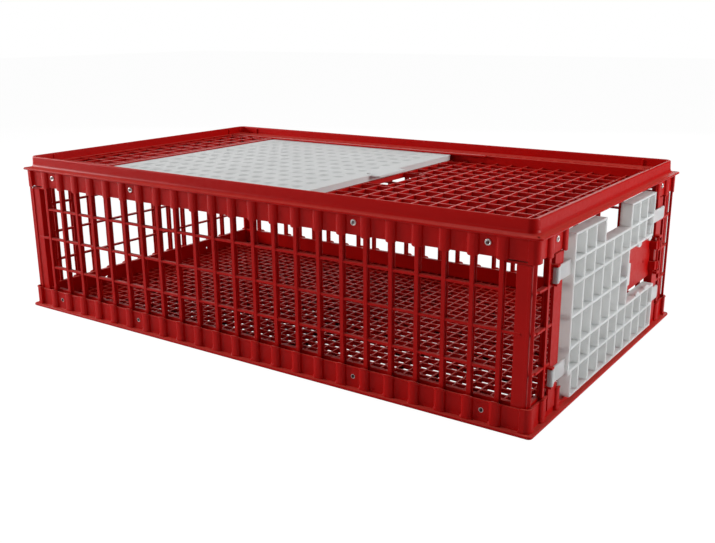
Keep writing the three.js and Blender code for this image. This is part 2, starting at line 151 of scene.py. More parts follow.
class Bricks:
    """Boxes added and cut away in order, which become one closed surface."""

    def __init__(self):
        self.steps = []

    def add(self, x, y, z):
        self.steps.append((True, [sorted(x), sorted(y), sorted(z)]))
        return self

    def cut(self, x, y, z):
        self.steps.append((False, [sorted(x), sorted(y), sorted(z)]))
        return self

    def lines(self):
        found = []
        for axis in range(3):
            ends = [end for _, spans in self.steps for end in spans[axis]]
            found.append(np.unique(np.round(ends, 3)))
        return found

    def build(self):
        lines = self.lines()
        filled = np.zeros([len(line) + 1 for line in lines], bool)
        for solid, spans in self.steps:
            where = []
            for line, ends in zip(lines, spans):
                first, last = np.searchsorted(line, np.round(ends, 3))
                where.append(slice(first + 1, last + 1))
            filled[tuple(where)] = solid
        return quads_round(filled, lines)


def quads_round(filled, lines):
    """Corner points and outward quads of the filled cells of a grid."""
    corners = []
    for axis in range(3):
        across, up = (axis + 1) % 3, (axis + 2) % 3
        size = filled.shape[axis]
        before = filled.take(range(size - 1), axis=axis)
        after = filled.take(range(1, size), axis=axis)
        for outward, face in ((True, before & ~after), (False, ~before & after)):
            cell = np.argwhere(face)
            loop = [(0, 0), (1, 0), (1, 1), (0, 1)]
            if not outward:
                loop.reverse()
            quad = np.repeat(cell[:, None, :], 4, axis=1)
            for corner, (step_across, step_up) in enumerate(loop):
                quad[:, corner, across] += step_across - 1
                quad[:, corner, up] += step_up - 1
            corners.append(quad)
    corners = np.concatenate(corners)
    points, index = np.unique(corners.reshape(-1, 3), axis=0, return_inverse=True)
    places = np.stack([lines[axis][points[:, axis]] for axis in range(3)], axis=1)
    return places, index.reshape(-1, 4)


def loft(loops):
    """Closed tube through closed loops of points, the last joined to the first."""
    count, length = len(loops), len(loops[0])
    points = np.concatenate([np.asarray(loop, float) for loop in loops])
    faces = []
    for i in range(count):
        here, there = i * length, (i + 1) % count * length
        for j in range(length):
            k = (j + 1) % length
            faces.append((here + j, here + k, there + k, there + j))
    return points, faces


def prism(outline, low, high):
    """Solid with a flat outline, anticlockwise from above."""
    count = len(outline)
    points = [(x, y, z) for z in (low, high) for x, y in outline]
    faces = [tuple(reversed(range(count))), tuple(range(count, 2 * count))]
    for i in range(count):
        j = (i + 1) % count
        faces.append((i, j, count + j, count + i))
    return np.array(points, float), faces


def lathe(profile, sides):
    """Ring turned about Z from a closed profile of (radius, z) points."""
    loops = []
    for radius, z in profile:
        angles = np.arange(sides) * 2 * math.pi / sides
        loops.append(np.stack([radius * np.cos(angles), radius * np.sin(angles), np.full(sides, z)], axis=1))
    return loft(loops)


def mesh_object(name, shape):
    """Blender object from points in millimetres and faces, with its faces pointing out."""
    points, faces = shape
    mesh = bpy.data.meshes.new(name)
    mesh.from_pydata([tuple(p) for p in np.asarray(points) * MM], [], [tuple(map(int, f)) for f in faces])
    made = bpy.data.objects.new(name, mesh)
    bpy.context.scene.collection.objects.link(made)
    work = bmesh.new()
    work.from_mesh(mesh)
    bmesh.ops.recalc_face_normals(work, faces=work.faces)
    work.to_mesh(mesh)
    work.free()
    return made


def apply_modifiers(piece):
    bpy.context.view_layer.update()
    graph = bpy.context.evaluated_depsgraph_get()
    mesh = bpy.data.meshes.new_from_object(piece.evaluated_get(graph))
    old = piece.data
    piece.modifiers.clear()
    piece.data = mesh
    bpy.data.meshes.remove(old)
    mesh.name = piece.name


def merge_flat(piece):
    """Joins neighbouring faces that lie in one plane."""
    work = bmesh.new()
    work.from_mesh(piece.data)
    bmesh.ops.dissolve_limit(work, angle_limit=math.radians(0.5), verts=work.verts, edges=work.edges)
    work.to_mesh(piece.data)
    work.free()


def soften(piece, width, segments=2, angle=40):
    """Rounds the sharp edges by that many millimetres."""
    bevel = piece.modifiers.new("edges", "BEVEL")
    bevel.width = width * MM
    bevel.segments = segments
    bevel.limit_method = "ANGLE"
    bevel.angle_limit = math.radians(angle)
    bevel.use_clamp_overlap = False
    apply_modifiers(piece)


def combine(piece, other, operation):
    """Solid union, difference or intersection. The other object is used up."""
    step = piece.modifiers.new(operation, "BOOLEAN")
    step.operation = operation
    step.solver = "MANIFOLD"
    step.object = other
    apply_modifiers(piece)
    mesh = other.data
    bpy.data.objects.remove(other)
    bpy.data.meshes.remove(mesh)
    return piece


def smooth(piece, angle=46):
    mesh = piece.data
    mesh.polygons.foreach_set("use_smooth", [True] * len(mesh.polygons))
    mesh.set_sharp_from_angle(angle=math.radians(angle))
    weighted = piece.modifiers.new("normals", "WEIGHTED_NORMAL")
    weighted.keep_sharp = True
    weighted.weight = 100
    apply_modifiers(piece)


def bricks_object(name, bricks, edge=0.45, segments=2, merged=True):
    piece = mesh_object(name, bricks.build())
    if merged:
        merge_flat(piece)
    if edge:
        soften(piece, edge, segments)
    return piece


def finish_piece(piece, body, slot, material, *nodes):
    """Material, shading, body and the CAD nodes that the piece stands for."""
    smooth(piece)
    piece.data.materials.clear()
    piece.data.materials.append(material)
    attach(piece, body)
    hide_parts(*nodes)
    return piece


def sided(side, near, far):
    return (side * near, side * far)


def bar_positions(count):
    return [(i - (count - 1) / 2) * BAR_PITCH for i in range(count)]


# ---------------------------------------------------------------- outlines

def rounded_outline(half_x, half_y, radius, steps=10):
    """Points of a rounded rectangle, anticlockwise, and their outward normals."""
    points, normals = [], []
    for quarter, (sign_x, sign_y) in enumerate(((1, 1), (-1, 1), (-1, -1), (1, -1))):
        for step in range(steps + 1):
            angle = (quarter + step / steps) * math.pi / 2
            normal = (math.cos(angle), math.sin(angle))
            x = sign_x * (half_x - radius) + radius * normal[0]
            y = sign_y * (half_y - radius) + radius * normal[1]
            points.append((x, y))
            normals.append(normal)
    return np.array(points), np.array(normals)


def ring(outline, profile):
    """Sweeps a closed profile of (outward offset, z) along an outline."""
    points, normals = outline
    loops = []
    for offset, z in profile:
        flat = points + offset * normals
        loops.append(np.column_stack([flat, np.full(len(flat), z)]))
    return loft(loops)


def bump(centre, half, rise):
    """Samples of one lobe: places along the panel and how far they stand out of it."""
    power = 0.8
    samples = []
    for step in range(13):
        angle = math.pi * step / 12
        swing = math.cos(angle)
        along = centre - half * math.copysign(abs(swing) ** power, swing)
        samples.append((along, rise * math.sin(angle) ** power))
    return samples


def lobed_outline(panel, lobe, offset=0.0):
    """Outline of a skirt, anticlockwise from the +X side, and how far each point stands out.

    offset moves the whole outline out, and widens its lobes, by that many millimetres.
    """
    reach_x, reach_y = panel
    rise = (lobe[0] - panel[0], lobe[1] - panel[1])
    radius = SKIRT_RADIUS + offset
    corner_x = lobe[0] - SKIRT_RADIUS
    corner_y = lobe[1] - SKIRT_RADIUS
    sides = (
        ((1, 0), (0, 1), reach_x, reach_y, rise[0]),
        ((0, 1), (-1, 0), reach_y, reach_x, rise[1]),
        ((-1, 0), (0, -1), reach_x, reach_y, rise[0]),
        ((0, -1), (1, 0), reach_y, reach_x, rise[1]),
    )
    points, heights = [], []
    for quarter, (outward, along, reach, length, up) in enumerate(sides):
        edge = length - CORNER_LOBE - offset
        samples = [(-edge, up), (-edge + 0.3, 0.92 * up), (-edge + 1, 0)]
        for centre, half in skirt_sides()[quarter]:
            if quarter == 0 and centre > 0 and samples[-1][0] < 0:
                samples += [(-DOOR_GAP + 1.5, 0), (-DOOR_GAP + 2, 0), (DOOR_GAP - 2, 0), (DOOR_GAP - 1.5, 0)]
            samples += bump(centre, half + offset, up)
        samples += [(edge - 1, 0), (edge - 0.3, 0.92 * up), (edge, up)]
        for u, v in samples:
            out = reach + offset + v
            points.append((out * outward[0] + u * along[0], out * outward[1] + u * along[1]))
            heights.append(v / up)
        centre = (corner_x * (1, -1, -1, 1)[quarter], corner_y * (1, 1, -1, -1)[quarter])
        for step in range(9):
            angle = (quarter + step / 8) * math.pi / 2
            points.append((centre[0] + radius * math.cos(angle), centre[1] + radius * math.sin(angle)))
            heights.append(1.0)
    return np.array(points), np.array(heights)


def at_door(points):
    """Which points of a skirt lie in front of the end door."""
    return (points[:, 0] > 470) & (np.abs(points[:, 1]) < DOOR_GAP - 1.8)


def skirt_sides():
    """Lobes on the four sides, each as (centre, half width) along its anticlockwise direction."""
    long_side = [(u, LOBE_HALF) for u in bar_positions(LONG_BARS)]
    closed_end = [(u, LOBE_HALF) for u in bar_positions(END_BARS)]
    return [list(DOOR_END_LOBES), long_side, closed_end, long_side]


# ---------------------------------------------------------------- materials

def moulded(name, colour, painted_highlight, roughness, grain, translucent=0.0):
    """Moulded plastic: slow colour variation, a painted highlight (a paler colour, made patchy by the scuff
    noise) on faces that look up, fine grain, and scuffs in the roughness.
    """
    material = bpy.data.materials.new(name)
    material.use_nodes = True
    nodes, links = material.node_tree.nodes, material.node_tree.links
    shader = nodes["Principled BSDF"]
    place = nodes.new("ShaderNodeTexCoord")
    cloud = noise(nodes, links, place, 9, 3)
    scuff_and_highlight_noise = noise(nodes, links, place, 160, 6)
    speck = noise(nodes, links, place, 900, 2)

    shade = nodes.new("ShaderNodeMix")
    shade.data_type = "RGBA"
    shade.inputs["A"].default_value = (*[c * 0.86 for c in colour], 1)
    shade.inputs["B"].default_value = (*[min(1, c * 1.1) for c in colour], 1)
    links.new(cloud.outputs["Fac"], shade.inputs["Factor"])

    # Painted highlight: faces that look up are mixed toward a paler colour in place of the top light's
    # glossy sheen. The scuff noise makes it patchy.
    up = nodes.new("ShaderNodeSeparateXYZ")
    surface = nodes.new("ShaderNodeNewGeometry")
    links.new(surface.outputs["Normal"], up.inputs[0])
    facing = nodes.new("ShaderNodeMapRange")
    facing.inputs["From Min"].default_value = 0.55
    facing.inputs["From Max"].default_value = 1.0
    facing.inputs["To Max"].default_value = painted_highlight[3]
    links.new(up.outputs["Z"], facing.inputs["Value"])
    patchy = nodes.new("ShaderNodeMath")
    patchy.operation = "MULTIPLY"
    level = nodes.new("ShaderNodeMapRange")
    level.inputs["From Min"].default_value = 0.3
    level.inputs["From Max"].default_value = 0.7
    level.inputs["To Min"].default_value = 0.75
    links.new(scuff_and_highlight_noise.outputs["Fac"], level.inputs["Value"])
    links.new(facing.outputs["Result"], patchy.inputs[0])
    links.new(level.outputs["Result"], patchy.inputs[1])
    highlight_mix = nodes.new("ShaderNodeMix")
    highlight_mix.data_type = "RGBA"
    links.new(patchy.outputs[0], highlight_mix.inputs["Factor"])
    links.new(shade.outputs["Result"], highlight_mix.inputs["A"])
    highlight_mix.inputs["B"].default_value = (*painted_highlight[:3], 1)
    links.new(highlight_mix.outputs["Result"], shader.inputs["Base Color"])

    gloss = nodes.new("ShaderNodeMapRange")
    gloss.inputs["From Min"].default_value = 0.25
    gloss.inputs["From Max"].default_value = 0.75
    gloss.inputs["To Min"].default_value = roughness - 0.06
    gloss.inputs["To Max"].default_value = roughness + 0.1
    links.new(scuff_and_highlight_noise.outputs["Fac"], gloss.inputs["Value"])
    links.new(gloss.outputs["Result"], shader.inputs["Roughness"])

    waves = nodes.new("ShaderNodeBump")
    waves.inputs["Strength"].default_value = 0.12
    waves.inputs["Distance"].default_value = 0.0012
    links.new(cloud.outputs["Fac"], waves.inputs["Height"])
    fine = nodes.new("ShaderNodeBump")
    fine.inputs["Strength"].default_value = grain
    fine.inputs["Distance"].default_value = 0.0002
    links.new(speck.outputs["Fac"], fine.inputs["Height"])
    links.new(waves.outputs["Normal"], fine.inputs["Normal"])
    links.new(fine.outputs["Normal"], shader.inputs["Normal"])
    shader.inputs["IOR"].default_value = 1.5
    shader.inputs["Specular IOR Level"].default_value = 0.12
    if translucent:
        shader.inputs["Subsurface Weight"].default_value = translucent
        shader.inputs["Subsurface Radius"].default_value = (1.0, 0.95, 0.9)
        shader.inputs["Subsurface Scale"].default_value = 0.03
    return material


def noise(nodes, links, place, scale, detail):
    texture = nodes.new("ShaderNodeTexNoise")
    texture.inputs["Scale"].default_value = scale
    texture.inputs["Detail"].default_value = detail
    links.new(place.outputs["Object"], texture.inputs["Vector"])
    return texture


def metal_material():
    """Dull aluminium of a pulled rivet."""
    material = bpy.data.materials.new("rivet_aluminium")
    material.use_nodes = True
    nodes, links = material.node_tree.nodes, material.node_tree.links
    shader = nodes["Principled BSDF"]
    shader.inputs["Metallic"].default_value = 1.0
    place = nodes.new("ShaderNodeTexCoord")
    grime = noise(nodes, links, place, 400, 4)
    tint = nodes.new("ShaderNodeMix")
    tint.data_type = "RGBA"
    tint.inputs["A"].default_value = (0.62, 0.6, 0.59, 1)
    tint.inputs["B"].default_value = (0.86, 0.85, 0.84, 1)
    links.new(grime.outputs["Fac"], tint.inputs["Factor"])
    links.new(tint.outputs["Result"], shader.inputs["Base Color"])
    gloss = nodes.new("ShaderNodeMapRange")
    gloss.inputs["To Min"].default_value = 0.2
    gloss.inputs["To Max"].default_value = 0.42
    links.new(grime.outputs["Fac"], gloss.inputs["Value"])
    links.new(gloss.outputs["Result"], shader.inputs["Roughness"])
    return material


# The fourth argument is the painted highlight colour for faces that look up, with its strength last.
RED = moulded("red_polyethylene", (0.5, 0.003, 0.002), (0.82, 0.2, 0.15, 0.26), 0.34, 0.04)
SHEET = moulded("white_sheet", (0.7, 0.715, 0.715), (0.74, 0.75, 0.74, 0.2), 0.4, 0.05)
WHITE = moulded("white_polyethylene", (0.68, 0.7, 0.7), (0.72, 0.73, 0.72, 0.2), 0.42, 0.05, translucent=0.6)
METAL = metal_material()


# ---------------------------------------------------------------- base tray

def base_tray():
    half_x, half_y = BASE_HIGH[0], BASE_HIGH[1]
    flange_profile = [(-0.7, 0), (0, 0.7), (0, 3.1), (-0.9, 4), (-9, 4), (-9, 0)]
    flange_outline = rounded_outline(half_x, half_y, FLANGE_RADIUS)
    tray = mesh_object("base_tray_moulding", ring(flange_outline, flange_profile))
    sill = Bricks().add((-478, 478), (-283, 283), (0.2, 3.9)).cut((-467, 467), (-274, 274), (0.2, 3.9))
    combine(tray, bricks_object("sill", sill, 0), "UNION")
    points, heights = lobed_outline(BASE_PANEL, BASE_LOBE)
    top = BASE_HIGH[2] - PANEL_DROP * (1 - heights)
    top = np.where(at_door(points), 10.0, top)
    bead = 0.8
    profile = [(1.0, 2.0, 0), (1.0, 6.2, 0), (0, 7.4, 0), (0, -2.6, 1), (bead, -1.8, 1), (bead, -0.5, 1),
               (bead - 0.5, 0, 1), (0.5 - SKIRT_WALL, 0, 1), (-SKIRT_WALL, -0.5, 1), (-SKIRT_WALL, 2.0, 0)]
    combine(tray, mesh_object("skirt", skirt(BASE_PANEL, BASE_LOBE, top, profile)), "UNION")
    combine(tray, floor_grid(), "UNION")
    return tray


def skirt(panel, lobe, edge, profile):
    """Corrugated wall from a profile of (offset, height, whether the height is above its free edge)."""
    loops = []
    for offset, z, free in profile:
        flat, _ = lobed_outline(panel, lobe, offset)
        height = edge + z if free else np.full(len(flat), z)
        loops.append(np.column_stack([flat, height]))
    return loft(loops)


def floor_grid():
    (x0, x1), (y0, y1) = FLOOR_GRID["x"], FLOOR_GRID["y"]
    columns, rows = FLOOR_GRID["columns"], FLOOR_GRID["rows"]
    half = FLOOR_RIB / 2
    pitch_x, pitch_y = (x1 - x0) / columns, (y1 - y0) / rows
    bricks = Bricks()
    for i in range(columns + 1):
        x = x0 + i * pitch_x
        bottom = FLOOR_DEEP_BOTTOM if i % 3 == 0 else FLOOR_MESH_BOTTOM
        bricks.add((x - half, x + half), (y0 - half, y1 + half), (bottom, FLOOR_TOP))
    for j in range(rows + 1):
        y = y0 + j * pitch_y
        bottom = FLOOR_DEEP_BOTTOM if j % 3 == 1 else FLOOR_MESH_BOTTOM
        bricks.add((x0 - half, x1 + half), (y - half, y + half), (bottom, FLOOR_TOP))
    return bricks_object("floor_grid", bricks, 0.4, 1)


# ---------------------------------------------------------------- lid

def lid():
    rim_profile = [(8, 248.6)]
    for step in range(7):
        angle = math.pi / 2 * step / 6
        rim_profile.append((7.4 - 6.8 * math.sin(angle), 257 - 6.8 * math.cos(angle)))
    rim_profile += [(0, 267.8), (-0.35, 269.2), (-1.2, 270)]
    rim_profile += [(-2.8, 270), (-3.65, 269.2), (-4, 267.8), (-4, 248.6)]
    shell = mesh_object("lid_moulding", ring(rounded_outline(472.5, 275, RIM_RADIUS), rim_profile))
    flange_profile = [(-0.7, 247), (0, 247.7), (0, 249.2), (-0.8, 250), (-9, 250.5), (-9, 247)]
    flange_outline = rounded_outline(LID_HIGH[0], LID_HIGH[1], FLANGE_RADIUS)
    flange = mesh_object("flange", ring(flange_outline, flange_profile))
    combine(shell, flange, "UNION")
    points, heights = lobed_outline(LID_PANEL, LID_LOBE)
    edge = LID_LOW[2] - 2.2 * heights
    edge = np.where(at_door(points), 247.4, edge)
    profile = [(0, 249.0, 0), (0, 0.6, 1), (-0.5, 0, 1), (0.5 - SKIRT_WALL, 0, 1), (-SKIRT_WALL, 0.6, 1),
               (-SKIRT_WALL, 249.0, 0)]
    combine(shell, mesh_object("skirt", skirt(LID_PANEL, LID_LOBE, edge, profile)), "UNION")
    combine(shell, ledge(), "UNION")
    combine(shell, bricks_object("track", lid_track()), "UNION")
    combine(shell, bricks_object("ribs", rim_ribs(), 0.4), "UNION")
    return shell


def ledge():
    """Ledge inside the rim, with the raised grid beside the top door."""
    x, y = 470, 272.5
    bricks = Bricks().add((-x, x), (-y, y), LEDGE)
    bricks.cut((TRACK["left"], TRACK["right"]), (-TRACK["half"], TRACK["half"]), LEDGE)
    ribs = [LAST_RIB_X - k * LID_PITCH_X for k in (29, 28, 27, 26)]
    lines = [-463, *ribs, TRACK["left"] - TRACK["wall"] - GRID_RIB / 2]
    for a, b in zip(lines, lines[1:]):
        for y0, y1 in row_spans():
            bricks.cut((a + GRID_RIB / 2, b - GRID_RIB / 2), (y0, y1), LEDGE)
    for side in (-1, 1):
        for column in range(27):
            x0 = TRACK["left"] + 6 + column * LID_PITCH_X
            bricks.cut((x0, x0 + 22), sided(side, 243, 248), (LEDGE[1] - 1.2, LEDGE[1]))
    plate = bricks_object("ledge", bricks)
    outline, _ = rounded_outline(470.5, 273, RIM_RADIUS - 2)
    return combine(plate, mesh_object("bounds", prism(outline, 250, 260)), "INTERSECT")


def row_spans():
    """The open stretches across the lid, between the ribs that run along it."""
    edges = [k * LID_PITCH_Y for k in range(-6, 7)]
    lines = [-TRACK["half"] - GRID_RIB / 2, *edges, TRACK["half"] + GRID_RIB / 2]
    return [(a + GRID_RIB / 2, b - GRID_RIB / 2) for a, b in zip(lines, lines[1:])]


def lid_track():
    """Recess that the top door slides in: walls, low grid, hatch, finger hole and overhanging lips."""
    left, right, half, wall = TRACK["left"], TRACK["right"], TRACK["half"], TRACK["wall"]
    low, high = LOW_GRID
    bricks = Bricks().add((left - wall, right + wall), (-half - wall, half + wall), (low, LEDGE[1]))
    bricks.cut((left, right), (-half, half), (high, LEDGE[1]))
    bricks.cut((HATCH["left"], HATCH["right"]), (-HATCH["half"], HATCH["half"]), (low, high))
    ribs = [LAST_RIB_X - k * LID_PITCH_X for k in range(15)]
    lines = sorted([*ribs, right + GRID_RIB / 2])
    for a, b in zip(lines, lines[1:]):
        for y0, y1 in row_spans():
            bricks.cut((a + GRID_RIB / 2, b - GRID_RIB / 2), (y0, y1), (low, high))
    hole = FINGER_HOLE
    frame_width = 2.5
    bricks.add(
        (hole["left"] - frame_width, hole["right"] + frame_width),
        (-hole["half"] - frame_width, hole["half"] + frame_width),
        (low, high),
    )
    bricks.cut((hole["left"], hole["right"]), (-hole["half"], hole["half"]), (low, high))
    for side in (-1, 1):
        bricks.add((left - wall, LIP["right"]), sided(side, LIP["inner"], half + wall), LIP["z"])
    return bricks


def rim_ribs():
    """Short upright ribs on the inside of the rim, near its corners."""
    bricks = Bricks()
    for side_x in (-1, 1):
        for side_y in (-1, 1):
            bricks.add(sided(side_x, 424, 427), sided(side_y, 268.6, 272.5), (255, 267))
            bricks.add(sided(side_x, 466, 470), sided(side_y, 226, 229), (255, 267))
    return bricks


# ---------------------------------------------------------------- walls

# Inner and outer face of the long walls and of the end walls, and where their foot and head strips are.
LONG_FACES = (266, 279)
END_FACES = (464, 477)
BAND_HEIGHTS = ((8.4, 36), (222, 246.6))


def upright(bricks, u, place, inner, outer, half=BAR_HALF, foot=BAR_FOOT, head=BAR_HEAD):
    """I-shaped bar at u along a wall; place turns (u span, depth span, z span) into a box."""
    back = max(inner, outer - BAR_DEPTH)
    bricks.add(*place((u - half, u + half), (outer - 2.4, outer), (foot, head)))
    bricks.add(*place((u - WEB_HALF, u + WEB_HALF), (back + 1, outer - 1), (foot, head)))
    bricks.add(*place((u - half, u + half), (back, back + 2), (foot, head)))


def rails(bricks, place, outer, first, last, heights=RAIL_HEIGHTS):
    """Level bars along a wall, which stay inside the depth of its uprights."""
    depth = (outer - BAR_DEPTH + 1, outer - 0.5)
    for z in heights:
        bricks.add(*place((first, last), depth, (z - RAIL_HALF, z + RAIL_HALF)))


def bands(bricks, place, inner, outer, first, last):
    """Strips along the foot and the head of a wall, inside the skirts."""
    for low, high in BAND_HEIGHTS:
        bricks.add(*place((first, last), (inner + 1, outer), (low, high)))


def long_wall(name, side):
    """Front or back wall, with a plate in the form of a channel at each end."""
    inner, outer = LONG_FACES

    def place(u, depth, z):
        return u, sided(side, *depth), z

    bars = bar_positions(LONG_BARS)
    bricks = Bricks()
    bands(bricks, place, inner, 273.7, -472, 472)
    rails(bricks, place, outer, bars[0], bars[-1])
    rails(bricks, place, outer, -460, 460, heights=RAIL_HEIGHTS[1:2])
    for u in bars:
        upright(bricks, u, place, inner, outer)
    for end in (-1, 1):
        bricks.add(*place(sided(end, bars[-1], 471.6), (inner + 1, 276), (214, 217)))
        bricks.add(*place(sided(end, 451, 471.6), (274.5, 277.6), (11, 214)))
        bricks.add(*place(sided(end, 451, 454), (inner, 277.6), (11, 214)))
        bricks.add(*place(sided(end, 451, 471.6), (inner, 277.6), (211, 214)))
        bricks.add(*place(sided(end, 467, 471.6), (inner, outer), (11, 214)))
    return bricks_object(name, bricks, merged=False)


def closed_end_wall():
    """Wall opposite the end door, barred over its whole width."""
    inner, outer = END_FACES

    def place(u, depth, z):
        return sided(-1, *depth), u, z

    bars = bar_positions(END_BARS)
    bricks = Bricks()
    bands(bricks, place, inner, 471.7, -265, 265)
    rails(bricks, place, outer, -265, 265)
    for u in bars:
        upright(bricks, u, place, inner, outer)
    for side in (-1, 1):
        corner_lip(bricks, lambda u, depth, z: place(sided(side, *u), depth, z), outer)
    return bricks_object("closed_end_wall_moulding", bricks, merged=False)


def corner_lip(bricks, place, outer):
    """Thin edge of an end wall, which laps round the end of the long wall, with stubs of the rails."""
    bricks.add(*place((275.4, 278), (473, outer), (36.5, 218)))
    for z in RAIL_HEIGHTS:
        bricks.add(*place((264, 276), (472.6, outer - 2), (z - RAIL_HALF, z + RAIL_HALF)))


def door_end_panel(name, side):
    """Door post, a slim bar and the corner, beside the end door."""
    inner, outer = END_FACES

    def place(u, depth, z):
        return depth, sided(side, *u), z

    bricks = Bricks()
    bands(bricks, place, inner, 471.7, 197, 265)
    rails(bricks, place, outer, 198, 265)
    upright(bricks, DOOR_END_BAR, place, 469.5, outer, half=3.3)
    bricks.add(*place((196.3, 199.3), (inner, outer), (11, 218)))
    bricks.add(*place((196.3, 222.4), (474, outer), (11, 218)))
    corner_lip(bricks, place, outer)
    return bricks_object(name, bricks, merged=False)


# ---------------------------------------------------------------- sliding top door

def top_door():
    """Plate over hidden ribs, dimpled where they cross, with a thin flush handle and a nub."""
    left, right, low = TOP_LOW[0], TOP_DOOR["right"], TOP_LOW[2]
    half = TOP_HIGH[1]
    top, skin, chamfer = (TOP_DOOR[key] for key in ("top", "skin", "chamfer"))
    outline = chamfered(left, right, half, chamfer)
    plate = mesh_object("top_door_moulding", prism(outline, top - skin, top))
    soften(plate, 1.1, 3)
    rib_outline = chamfered(left + 0.6, right - 0.6, half - 0.6, chamfer)
    ribs = mesh_object("top_door_ribs", prism(rib_outline, low, top - 1))
    pitch_x, pitch_y = DIMPLE_PITCH
    columns = int((right - left) // pitch_x)
    rows = int(2 * half // pitch_y)
    start_x = (left + right - columns * pitch_x) / 2
    start_y = -rows * pitch_y / 2
    rib_half = 1.2
    pockets = Bricks()
    for i in range(columns):
        for j in range(rows):
            x, y = start_x + i * pitch_x, start_y + j * pitch_y
            pockets.add(
                (x + rib_half, x + pitch_x - rib_half),
                (y + rib_half, y + pitch_y - rib_half),
                (low - 1, top - skin),
            )
    combine(ribs, bricks_object("pockets", pockets, 0), "DIFFERENCE")
    combine(plate, ribs, "UNION")
    combine(plate, top_handle(top), "UNION")
    nub = mesh_object("nub", dome(TOP_NUB["radius"], TOP_HIGH[2] - top, 20))
    nub.data.transform(Matrix.Translation(Vector((TOP_NUB["x"], TOP_NUB["y"], top)) * MM))
    combine(plate, nub, "UNION")
    crossings = [
        (start_x + i * pitch_x, start_y + j * pitch_y)
        for i in range(1, columns)
        for j in range(1, rows)
    ]
    combine(plate, dimples(crossings, top), "DIFFERENCE")
    return plate


def chamfered(left, right, half, chamfer):
    """Outline of the top door, with its far right corner cut off."""
    return [(left, -half), (right, -half), (right, half - chamfer), (right - chamfer, half), (left, half)]


def top_handle(top):
    outline, _ = rounded_outline(15, (TOP_HANDLE["back"] - TOP_HANDLE["front"]) / 2, TOP_HANDLE["radius"])
    middle = (TOP_HIGH[0] - 15, (TOP_HANDLE["back"] + TOP_HANDLE["front"]) / 2)
    handle = mesh_object("handle", prism(outline + middle, top - TOP_HANDLE["thick"], top - 0.05))
    soften(handle, 0.9, 3)
    return handle


def dome(radius, height, sides):
    """Low round boss that stands on z = 0 and sinks 1 mm below it."""
    profile = [(radius, -1), (radius, height * 0.4), (radius * 0.85, height * 0.85), (radius * 0.5, height)]
    return solid_of_revolution(profile, sides)


def solid_of_revolution(profile, sides):
    """Solid turned about Z from (radius, z) points that rise; its ends are flat."""
    points, faces = [], []
    for radius, z in profile:
        for step in range(sides):
            angle = step * 2 * math.pi / sides
            points.append((radius * math.cos(angle), radius * math.sin(angle), z))
    for i in range(len(profile) - 1):
        for j in range(sides):
            k = (j + 1) % sides
            faces.append((i * sides + j, i * sides + k, (i + 1) * sides + k, (i + 1) * sides + j))
    faces.append(tuple(reversed(range(sides))))
    faces.append(tuple(range(len(points) - sides, len(points))))
    return np.array(points), faces


def dimples(places, top):
    """Shallow round pits in the top of the door, as one cutter."""
    radius, depth = DIMPLE["radius"], DIMPLE["depth"]
    profile = [(radius * share, -depth * (1 - share ** 2)) for share in (0.15, 0.4, 0.6, 0.8, 1)]
    points, faces = solid_of_revolution([*profile, (radius + 0.01, 1)], 16)
    all_points, all_faces = [], []
    for index, (x, y) in enumerate(places):
        all_points.append(points + (x, y, top))
        all_faces += [tuple(corner + index * len(points) for corner in face) for face in faces]
    return mesh_object("dimples", (np.concatenate(all_points), all_faces))


# ---------------------------------------------------------------- end door and its latch flap

def door_lines():
    """Centres of the upright ribs of the end door, from its left edge to its right edge."""
    left, right = END_DOOR["left"], END_DOOR["right"]
    pitch = (right - left) / DOOR_COLUMNS
    return [left + 1.5 + i * pitch for i in range(DOOR_COLUMNS + 1)]


def end_door():
    """Door with open pockets in its front, a notch in its top edge and a window for the flap."""
    back, front, skin = (END_DOOR[key] for key in ("back", "front", "skin"))
    left, lower_right = END_DOOR["left"], END_DOOR["lower_right"]
    half = END_DOOR["rib"] / 2
    lines = door_lines()
    right = lines[-1] + 1.5
    bottom, top = DOOR_LOW[2], DOOR_HIGH[2]
    lower_top = DOOR_ROWS[WINDOW_ROWS[0]] + half
    window_top = DOOR_ROWS[WINDOW_ROWS[1]] - half
    notch_left, notch_right = (lines[i] for i in NOTCH)
    bricks = Bricks().add((back, front), (left, right), (bottom, top))
    bricks.add((back, front), (right, lower_right), (bottom, lower_top))
    bricks.cut((back, front), (left, DOOR_INSET["left"]), (bottom, DOOR_INSET["top"]))
    bricks.cut((back, front), (notch_left + half, notch_right - half), (DOOR_ROWS[-2] + half, top))
    bricks.cut((back, front), (notch_right + half, right), (lower_top, window_top))
    for y, z in door_pockets(lines, half):
        bricks.cut((back + skin, front), y, z)
    bricks.add((back, front - 2.5), (147, right), (168, 184))
    body = bricks_object("end_door_moulding", bricks, 1.1, 3, merged=False)
    for low, high in DOOR_TABS["heights"]:
        edge = lower_right if low < lower_top else right
        combine(body, tab(-DOOR_TABS["reach"], left + 3, low, high), "UNION")
        combine(body, tab(edge - 3, DOOR_TABS["reach"], low, high), "UNION")
        combine(body, knuckle(DOOR_HINGE, low, high), "UNION")
        combine(body, tab_root(DOOR_HINGE, low + 0.1, high - 0.1), "UNION")
    for y, width in UPPER_TEETH:
        combine(body, tooth(y, width, window_top + 0.5, -1), "UNION")
    for y, width in LOWER_TEETH:
        combine(body, tooth(y, width, lower_top - 0.5, 1), "UNION")
    side = Bricks().add((front - 4, front - 0.05), (notch_right, notch_right + 10), (112, 146))
    combine(body, bricks_object("side_tooth", side, 1.2, 3), "UNION")
    for low, high in DOOR_TABS["heights"]:
        combine(body, round_bar(DOOR_HINGE, DOOR_HINGE["bore"], low - 2, high + 2), "DIFFERENCE")
    return body


